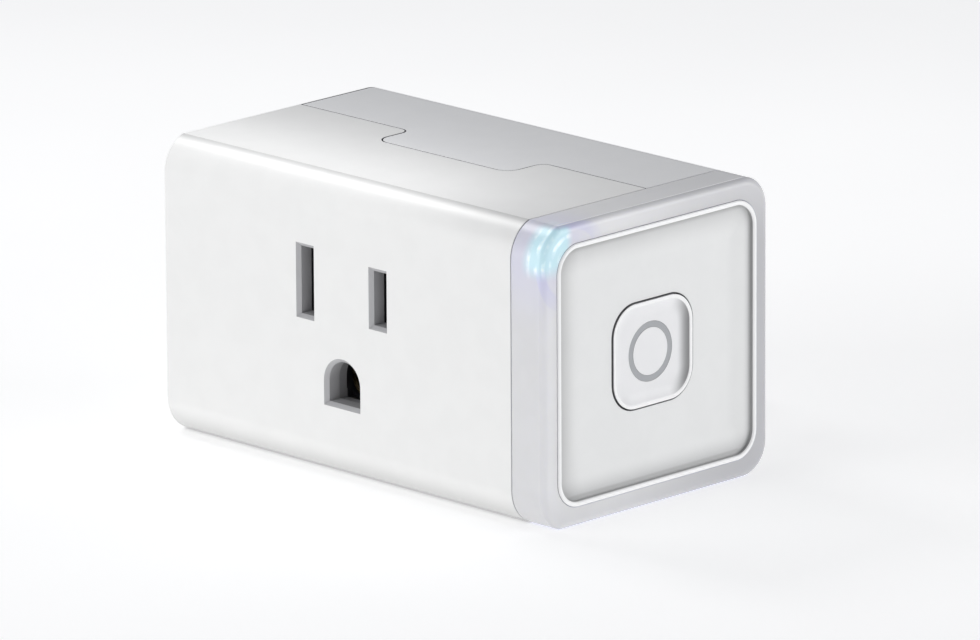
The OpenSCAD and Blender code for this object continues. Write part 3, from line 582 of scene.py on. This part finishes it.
FINISHES = {
    "white_shell": shell_white("white_front", WHITE, SHADE, 0.3),
    # The rear cover's white is a touch darker and bluer than the front's, as painted shade towards the back
    "white_shell_rear": shell_white("white_rear", (0.855, 0.86, 0.87), SHADE, 0.32),
    "light_guide": light_guide(),
    "panel_white": recess_white("white_panel", PANEL_BASE, 0.36, 2.2 * MM, PANEL_RIM, PANEL_WALLS, PANEL_EDGES),
    "button_white": recess_white("white_button", BUTTON_BASE, 0.3, 1.2 * MM, BUTTON_TOP, BUTTON_WALLS),
    "ring_grey": moulded("grey_ring", (0.42, 0.43, 0.45), (0.3, 0.3, 0.3), 0.35),
    "carrier_grey": socket_plastic("grey_carrier", (0.36, 0.36, 0.375), (0.02, 0.02, 0.025)),
    "contact_brass": metal("brass_contact", (0.83, 0.66, 0.36), 0.28, crevice=5 * MM),
    "prong_metal": metal("nickel_prong", (0.78, 0.77, 0.74), 0.22),
    "black_plastic": moulded("black_plastic", (0.03, 0.03, 0.032), (0.01, 0.01, 0.01), 0.45),
    "copper": metal("copper_strap", (0.86, 0.5, 0.34), 0.3),
    "board_green": moulded("solder_mask", (0.02, 0.13, 0.06), (0.01, 0.05, 0.03), 0.3),
    "steel": metal("steel", (0.62, 0.62, 0.63), 0.3),
    "relay_blue": moulded("relay_blue", (0.03, 0.09, 0.3), (0.01, 0.03, 0.1), 0.35),
    "bobbin_cream": moulded("bobbin_cream", (0.72, 0.68, 0.54), (0.3, 0.28, 0.2), 0.45),
    "ferrite": moulded("ferrite", (0.05, 0.05, 0.055), (0.02, 0.02, 0.02), 0.6, grain=0.03 * MM),
    "winding_tape": moulded("winding_tape", (0.75, 0.52, 0.05), (0.3, 0.2, 0.02), 0.35),
    "sleeve_dark": moulded("capacitor_sleeve", (0.02, 0.025, 0.05), (0.01, 0.01, 0.02), 0.3),
    "resistor_green": moulded("resistor_green", (0.12, 0.25, 0.17), (0.05, 0.1, 0.07), 0.45),
    "shield_metal": metal("tinned_shield", (0.72, 0.72, 0.72), 0.25),
    "led_lens": moulded("lamp_lens", (0.88, 0.86, 0.68), (0.5, 0.5, 0.4), 0.2),
    "gold_pins": metal("gold_pins", (0.9, 0.72, 0.36), 0.25),
    "plunger_grey": moulded("plunger_grey", (0.09, 0.09, 0.1), (0.03, 0.03, 0.03), 0.45),
}


def dress(piece, body, slot, *replaced):
    """Gives a new piece its material and body, and hides the CAD nodes it replaces."""
    piece.data.materials.clear()
    piece.data.materials.append(FINISHES[slot])
    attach(piece, body)
    if replaced:
        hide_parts(*replaced)


# ---------- Covers ----------


def outer_shell(name, x0, end_radius):
    """The body's outside from x0 to the ring, rounded at its left end."""
    sections = [body_section(x, inset) for x, inset in reversed(fillet(x0, end_radius, 1))]
    sections += [body_section(x, inset) for x, inset in fillet(SHELL_RIGHT, EDGE, -1)]
    return skin(name, sections)


def hollow(x0):
    return skin("hollow", [body_section(x, FRONT_WALL, WALL, WALL) for x in (x0, SHELL_RIGHT + WALL)])


def seam_outline(grow, right):
    """Plan of the rear shell's side of the top seam; grow moves its edge forwards."""
    half = TAB_HALF_WIDTH + grow
    edge = SEAM_LINE - grow
    tip = SEAM_LINE - TAB_REACH - grow
    corner = TAB_CORNER + grow
    root = TAB_ROOT - grow
    left = LEFT + END_LIP
    points = [(right, WALL), (left, WALL), (left, edge)]
    points += arc((-half - root, edge - root), root, 90, 0, 8)
    points += arc((corner - half, tip + corner), corner, 180, 270, 12)
    points += arc((half - corner, tip + corner), corner, 270, 360, 12)
    points += arc((half + root, edge - root), root, 180, 90, 8)
    points += [(right, edge)]
    return points


def slot_tool(x, width, height):
    """Cuts one blade slot with its chamfered mouth."""
    sections = []
    for y, grow in ((FRONT - MM, SLOT_CHAMFER + MM), (FRONT, SLOT_CHAMFER), (FRONT + SLOT_CHAMFER, 0), (FRONT + 3 * MM, 0)):
        a = width / 2 + grow
        b = height / 2 + grow
        sections.append([Vector((x + p, y, SLOT_Z + q)) for p, q in box_outline(-a, -b, a, b)])
    return skin("slot", sections)


def ground_tool():
    """Cuts the ground hole: an arch above and a flat floor below."""
    sections = []
    for y, grow in ((FRONT - MM, SLOT_CHAMFER + MM), (FRONT, SLOT_CHAMFER), (FRONT + SLOT_CHAMFER, 0), (FRONT + 3 * MM, 0)):
        r = GROUND_RADIUS + grow
        outline = arc((0, 0), r, 0, 180, 40) + [(-r, -r), (r, -r)]
        sections.append([Vector((p, y, GROUND_Z + q)) for p, q in outline])
    return skin("ground", sections)


def front_shell():
    shell = outer_shell("front_shell", LEFT, END_RADIUS)
    carve(shell, hollow(LEFT + WALL))
    right = SHELL_RIGHT + WALL
    above = prism("above", seam_outline(0, right), along_z(0, TOP + MM))
    below = prism("below", box_outline(LEFT + END_LIP, SEAM_LINE, right, WALL), along_z(-TOP - MM, 0.1 * MM))
    carve(above, below, "UNION")
    core = skin("core", [body_section(x, FRONT_WALL + EDGE, WALL + EDGE, WALL + EDGE) for x in (LEFT, LEFT + WALL)])
    carve(above, core)
    carve(shell, above)
    for x, height in SLOTS:
        carve(shell, slot_tool(x, SLOT_WIDTH, height))
    carve(shell, ground_tool())
    soften(shell, 0.07 * MM, 2)
    smooth(shell)
    dress(shell, "plug", "white_shell", "front_housing")
    line_mouths(shell)
    line_seams(shell)
    return shell


def line_mouths(shell):
    """Paints the chamfers and walls of the three holes grey, as painted shade."""
    shell.data.materials.append(MOUTH_SHADE)
    holes = [(x, SLOT_Z, SLOT_WIDTH / 2, height / 2) for x, height in SLOTS]
    holes.append((0, GROUND_Z, GROUND_RADIUS, GROUND_RADIUS))
    margin = SLOT_CHAMFER + 0.02 * MM
    for face in shell.data.polygons:
        x, y, z = face.center
        for hole_x, hole_z, half_x, half_z in holes:
            beside = abs(x - hole_x) < half_x + margin and abs(z - hole_z) < half_z + margin
            if beside and FRONT + 0.04 * MM < y < FRONT + FRONT_WALL - 0.01 * MM:
                face.material_index = 1


def under_skin(y, z):
    """How deep a point lies under the body's back, top or bottom, and the direction out from there."""
    past_y = y - (BACK - REAR_RADIUS)
    past_z = abs(z) - (TOP - REAR_RADIUS)
    if past_y > 0 and past_z > 0:
        out = Vector((0, past_y, math.copysign(past_z, z)))
        return REAR_RADIUS - out.length, out.normalized()
    if BACK - y < TOP - abs(z):
        return BACK - y, Vector((0, 1, 0))
    return TOP - abs(z), Vector((0, 0, 1))


def line_seams(shell):
    """Paints the walls of the seams and of the prongs' passages a dark grey, as painted shadow."""
    shell.data.materials.append(SEAM_SHADOW)
    grey = len(shell.data.materials) - 1
    skin_depth = 0.02 * MM
    for face in shell.data.polygons:
        x, y, z = face.center
        if x > SHELL_RIGHT - 0.3 * MM or x < LEFT + END_LIP - skin_depth:
            continue
        depth, out = under_skin(y, z)
        wall = skin_depth < depth < WALL - skin_depth and abs(face.normal.dot(out)) < 0.75
        lip = abs(x - LEFT - END_LIP) < skin_depth and face.normal.x > 0.9
        if lip or (wall and y > FRONT + FRONT_RADIUS):
            face.material_index = grey


def rear_shell():
    shell = outer_shell("rear_shell", LEFT + END_LIP + GAP, EDGE)
    carve(shell, hollow(LEFT))
    right = SHELL_RIGHT + WALL
    above = prism("above", seam_outline(-SEAM_GAP, right), along_z(0, TOP + MM))
    below = prism("below", box_outline(LEFT, SEAM_LINE + SEAM_GAP, right, WALL), along_z(-TOP - MM, 0.1 * MM))
    carve(above, below, "UNION")
    carve(shell, above, "INTERSECT")
    for name in ("neutral_blade", "line_blade"):
        low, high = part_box(name)
        width = high.x - low.x + 0.2 * MM
        half = (high.z - low.z) / 2 - BLADE_SHOULDER + 0.1 * MM
        x = (low.x + high.x) / 2
        outline = box_outline(x - width / 2, SLOT_Z - half, x + width / 2, SLOT_Z + half)
        carve(shell, prism("passage", outline, along_y(-3 * MM, MM)))
    carve(shell, prism("passage", arc((0, GROUND_Z), PIN_RADIUS + 0.1 * MM, 0, 350, 35), along_y(-3 * MM, MM)))
    soften(shell, 0.07 * MM, 2)
    smooth(shell)
    dress(shell, "plug", "white_shell_rear", "rear_housing")
    line_seams(shell)
    return shell


def light_ring():
    """The ring, one closed skin: outside, rounded end face, panel pocket, then back along its collar."""
    start = SHELL_RIGHT + GAP
    half_y = (panel_high.y - panel_low.y) / 2
    half_z = panel_high.z
    collar = FRONT_WALL + EDGE
    sections = [body_section(ring_low.x, collar, WALL + EDGE, WALL + EDGE)]
    rib = start - 0.09 * MM
    sections += [body_section(rib, collar, WALL + EDGE, WALL + EDGE)]
    sections += [body_section(x, RIB_DEPTH) for x in (rib, start)]
    sections += [body_section(x, inset) for x, inset in reversed(fillet(start, EDGE, 1))]
    sections += [body_section(x, inset) for x, inset in fillet(RING_FACE, RING_FILLET, -1, 10, 90 - FRONT_BEND)]
    sections += [body_section(RING_FACE, RING_FILLET + 0.05 * MM)]
    pocket = [(RING_FACE, 0.08 * MM), (RING_FACE - 0.04 * MM, 0.04 * MM), (start + MM, 0.04 * MM)]
    sections += [pad_section(x, half_y + g, half_z + g, BEZEL_RADIUS + g) for x, g in pocket]
    inner = -1.9 * MM
    sections += [pad_section(x, half_y + inner, half_z + inner, 1.6 * MM) for x in (start + MM, start)]
    sections += [body_section(ring_low.x, 3.5 * MM, 3.3 * MM, 3.3 * MM)]
    ring = skin("light_ring_guide", sections, closed=True)
    smooth(ring)
    dress(ring, "plug", "light_guide", "light_ring")
    return ring


def end_panel():
    """The end panel: raised bezel, sharp step, smooth slope to a flat floor and the button's opening."""
    half_y = (panel_high.y - panel_low.y) / 2
    half_z = panel_high.z
    floor = BEZEL_FACE - PANEL_DEPTH
    profile = [(panel_low.x, 1.2 * MM), (panel_low.x, 0)]
    crown = BEZEL_WIDTH / 2
    for i in range(13):
        a = math.pi * i / 12
        profile.append((BEZEL_FACE - 0.22 * MM + 0.22 * MM * math.sin(a), crown - crown * math.cos(a)))
    wall = BEZEL_WIDTH + 0.02 * MM
    for i in range(7):
        a = math.pi / 2 * i / 6
        depth = PANEL_STEP - PANEL_FOOT + PANEL_FOOT * math.sin(a)
        profile.append((BEZEL_FACE - depth, wall + 2 * PANEL_FOOT * (1 - math.cos(a))))
    for i in range(1, 13):
        t = i / 12
        depth = PANEL_STEP + (PANEL_DEPTH - PANEL_STEP) * t * t * (3 - 2 * t)
        profile.append((BEZEL_FACE - depth, wall + 2 * PANEL_FOOT + (PANEL_SLOPE - 2 * PANEL_FOOT) * t))
    sections = [pad_section(x, half_y - g, half_z - g, max(BEZEL_RADIUS - g, 1 * MM)) for x, g in profile]
    for x, g in reversed(fillet(floor, 0.05 * MM, -1)):
        sections.append(button_section(x, BUTTON_GAP + g))
    back = floor - PANEL_THICKNESS
    sections.append(button_section(back, BUTTON_GAP))
    sections += [pad_section(x, half_y - 1.2 * MM, half_z - 1.2 * MM, BEZEL_RADIUS - 1.2 * MM) for x in (back,)]
    panel = skin("recessed_end_panel", sections, closed=True)
    smooth(panel)
    dress(panel, "plug", "panel_white", "end_panel")
    return panel


# ---------- Button ----------


def button():
    """The button: flange, rounded rim, smooth dish with a groove for the grey ring."""
    flange_back = button_low.x + 0.3 * MM
    flange_front = flange_back + 1 * MM
    floor = button_face - DISH_DEPTH
    stem = 1.6 * MM
    sections = [pad_section(x, stem, stem, stem) for x in (button_low.x, flange_back)]
    sections += [button_section(x, BUTTON_FLANGE) for x in (flange_back, flange_front)]
    sections.append(button_section(flange_front, 0))
    sections += [button_section(x, -inset) for x, inset in fillet(button_face, 0.1 * MM, -1)]
    sections.append(button_section(button_face, -BUTTON_RIM + 0.06 * MM))
    for i in range(13):
        t = i / 12
        depth = 0.03 * MM + (DISH_DEPTH - 0.03 * MM) * t * (2 - t)
        sections.append(button_section(button_face - depth, -BUTTON_RIM - DISH_SLOPE * t))
    groove = [(floor, MARK_OUTER), (floor - MARK_GROOVE, MARK_OUTER), (floor - MARK_GROOVE, MARK_INNER), (floor, MARK_INNER)]
    sections += [pad_section(x, r, r, r) for x, r in groove]
    cap = skin("push_button", sections)
    smooth(cap)
    dress(cap, "button", "button_white", "button_cap")
    return cap


def button_ring():
    floor = inlay_high.x
    outer = MARK_OUTER - 0.02 * MM
    inner = MARK_INNER + 0.02 * MM
    lip = 0.03 * MM
    profile = [(inlay_low.x, outer), (floor - lip, outer), (floor, outer - lip), (floor, inner + lip), (floor - lip, inner)]
    profile.append((inlay_low.x, inner))
    ring = skin("button_grey_ring", [pad_section(x, r, r, r) for x, r in profile], closed=True)
    smooth(ring)
    dress(ring, "button", "ring_grey", "button_ring_inlay")
    return ring


# ---------- Prongs ----------

def blade(node):
    """A flat prong with coined edges, shoulders inside the body and a hole near its tip."""
    low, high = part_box(node)
    half = (high.z - low.z) / 2 - BLADE_SHOULDER
    tip = 1.4 * MM
    end = high.y
    outline = [(end - tip, -half), (end, tip - half), (end, half - tip), (end - tip, half)]
    shoulder = half + BLADE_SHOULDER
    tab_end = -12.3 * MM
    outline += [(FLANGE_BACK, half), (FLANGE_BACK, shoulder), (SHOULDER_FRONT, shoulder)]
    outline += [(SHOULDER_FRONT, MM), (tab_end, MM), (tab_end, 0), (low.y, 0), (low.y, -2.6 * MM)]
    outline += [(SHOULDER_FRONT, -2.6 * MM), (SHOULDER_FRONT, -shoulder), (FLANGE_BACK, -shoulder)]
    outline += [(FLANGE_BACK, -half)]
    piece = prism(node + "_prong", [(y, SLOT_Z + z) for y, z in outline], along_x(low.x, high.x))
    hole = arc((11.9 * MM, SLOT_Z), 1.6 * MM, 0, 350, 35)
    carve(piece, prism("hole", hole, along_x(low.x - MM, high.x + MM)))
    soften(piece, 0.18 * MM, 3)
    smooth(piece)
    dress(piece, "plug", "prong_metal", node)
    return piece


def ground_prong():
    """The round pin with its domed tip, its square shank and the flange that holds it inside the body."""
    tip = pin_high.y - PIN_RADIUS

    def section(y, radius, square=False):
        points = []
        for i in range(64):
            a = 2 * math.pi * i / 64
            r = radius / max(abs(math.cos(a)), abs(math.sin(a))) if square else radius
            points.append(Vector((r * math.cos(a), y, GROUND_Z + r * math.sin(a))))
        return points

    sections = [section(y, PIN_FLANGE) for y in (pin_low.y, FLANGE_BACK)]
    sections += [section(y, PIN_SHANK / 2, square=True) for y in (FLANGE_BACK, 0)]
    sections.append(section(0, PIN_RADIUS))
    for i in range(17):
        a = math.pi / 2 * i / 16 * 0.98
        sections.append(section(tip + PIN_RADIUS * math.sin(a), PIN_RADIUS * math.cos(a)))
    piece = skin("ground_pin_prong", sections)
    smooth(piece)
    dress(piece, "plug", "prong_metal", "ground_pin")
    return piece


front_shell()
rear_shell()
light_ring()
end_panel()
button()
button_ring()
for blade_node in ("neutral_blade", "line_blade"):
    blade(blade_node)
ground_prong()


# ---------- CAD nodes that are shown as they are ----------

for part in frame["record"]["subparts"]:
    node = nodes[part["node"]]
    node.data.materials.clear()
    node.data.materials.append(FINISHES[part["material_slot"]])


# ---------- Floor, light and camera ----------

CAMERA_AZIMUTH = 44.96
CAMERA_ELEVATION = 15.36
CAMERA_ROLL = -0.32
CAMERA_DISTANCE = 1369.4 * MM
CAMERA_TARGET = Vector((4.21, -17.87, -1.98)) * MM
SENSOR = 36
LENS = 406.9


def direction(azimuth, elevation):
    """Unit vector towards a point seen at that azimuth from -Y and that height above the horizon."""
    a, e = math.radians(azimuth), math.radians(elevation)
    return Vector((math.sin(a) * math.cos(e), -math.cos(a) * math.cos(e), math.sin(e)))


def area_light(name, place, aim, size, power):
    """A soft rectangular light at a place, looking at a point. The camera doesn't see it."""
    light = bpy.data.lights.new(name, "AREA")
    light.shape = "RECTANGLE"
    light.size, light.size_y = size
    light.energy = power
    lamp = bpy.data.objects.new(name, light)
    lamp.location = place
    lamp.rotation_mode = "QUATERNION"
    lamp.rotation_quaternion = (place - aim).to_track_quat("Z", "Y")
    lamp.visible_camera = False
    bpy.context.scene.collection.objects.link(lamp)


def softbox(name, azimuth, elevation, distance, size, power):
    """A square light that looks at the middle of the object."""
    middle = (cad_low + cad_high) / 2
    area_light(name, middle + direction(azimuth, elevation) * distance, middle, (size, size), power)


def top_strip():
    """A strip over the front top edge, close enough for the top face to darken towards the back."""
    x = (LEFT + SHELL_RIGHT) / 2 - 10 * MM
    y = FRONT + 3 * MM
    size = (SHELL_RIGHT - LEFT, 12 * MM)
    area_light("top_strip", Vector((x, y, TOP + STRIP_HEIGHT)), Vector((x, y, 0)), size, STRIP_POWER)


def back_card():
    """A low light behind the object, placed so that the front half of the top face mirrors it to the camera."""
    place = Vector((-120, 100, 105)) * MM
    area_light("back_card", place, Vector((0, -30, 19)) * MM, (160 * MM, 80 * MM), BACK_POWER)


def floor():
    """A plain pale floor just under the object."""
    reach = 6
    level = front_low.z - 0.02 * MM
    corners = [(-reach, -reach), (reach, -reach), (reach, reach), (-reach, reach)]
    slab = prism("floor", corners, along_z(level - 0.02, level))
    n = Nodes("pale_floor")
    pale = n.mix(n.ramp(n.noise(60 * MM), 0.3, 0.7), colour(0.93, 0.93, 0.93), colour(0.95, 0.95, 0.95))
    n.link(pale, n.shader.inputs["Base Color"])
    n.shader.inputs["Emission Color"].default_value = colour(1, 1, 1)
    n.shader.inputs["Emission Strength"].default_value = FLOOR_GLOW
    n.shader.inputs["Roughness"].default_value = 0.85
    slab.data.materials.append(n.material)


def sky():
    """Soft white surroundings: the camera sees plain white, and the object an even, faintly blue white."""
    world = bpy.data.worlds.new("studio")
    bpy.context.scene.world = world
    world.use_nodes = True
    tree = world.node_tree
    tree.nodes.clear()

    def add(kind):
        return tree.nodes.new(kind)

    output = add("ShaderNodeOutputWorld")
    mixed = add("ShaderNodeMixShader")
    path = add("ShaderNodeLightPath")
    seen = add("ShaderNodeBackground")
    lighting = add("ShaderNodeBackground")
    seen.inputs["Color"].default_value = (1, 1, 1, 1)
    lighting.inputs["Color"].default_value = (0.96, 0.97, 1, 1)
    lighting.inputs["Strength"].default_value = SKY_STRENGTH
    tree.links.new(path.outputs["Is Camera Ray"], mixed.inputs[0])
    tree.links.new(lighting.outputs[0], mixed.inputs[1])
    tree.links.new(seen.outputs[0], mixed.inputs[2])
    tree.links.new(mixed.outputs[0], output.inputs[0])


def camera():
    data = bpy.data.cameras.new("camera")
    data.sensor_width = SENSOR
    data.lens = LENS
    data.clip_start, data.clip_end = 0.05, 50
    cam = bpy.data.objects.new("camera", data)
    turn = Matrix.Rotation(math.radians(CAMERA_AZIMUTH), 4, "Z")
    turn @= Matrix.Rotation(math.radians(90 - CAMERA_ELEVATION), 4, "X")
    turn @= Matrix.Rotation(math.radians(CAMERA_ROLL), 4, "Z")
    place = CAMERA_TARGET + direction(CAMERA_AZIMUTH, CAMERA_ELEVATION) * CAMERA_DISTANCE
    cam.matrix_world = Matrix.Translation(place) @ turn
    bpy.context.scene.collection.objects.link(cam)
    bpy.context.scene.camera = cam


SKY_STRENGTH = 0.4
FLOOR_GLOW = 0.36
STRIP_HEIGHT = 16 * MM
STRIP_POWER = 0.0036
BACK_POWER = 0.024

floor()
sky()
softbox("key", -20, 8, 0.6, 0.4, 1.5)
softbox("left", -88, 45, 0.6, 0.16, 0.4)
softbox("right", 125, 8, 0.6, 0.4, 1.4)
top_strip()
back_card()
camera()
bpy.context.scene.view_settings.view_transform = "Standard"
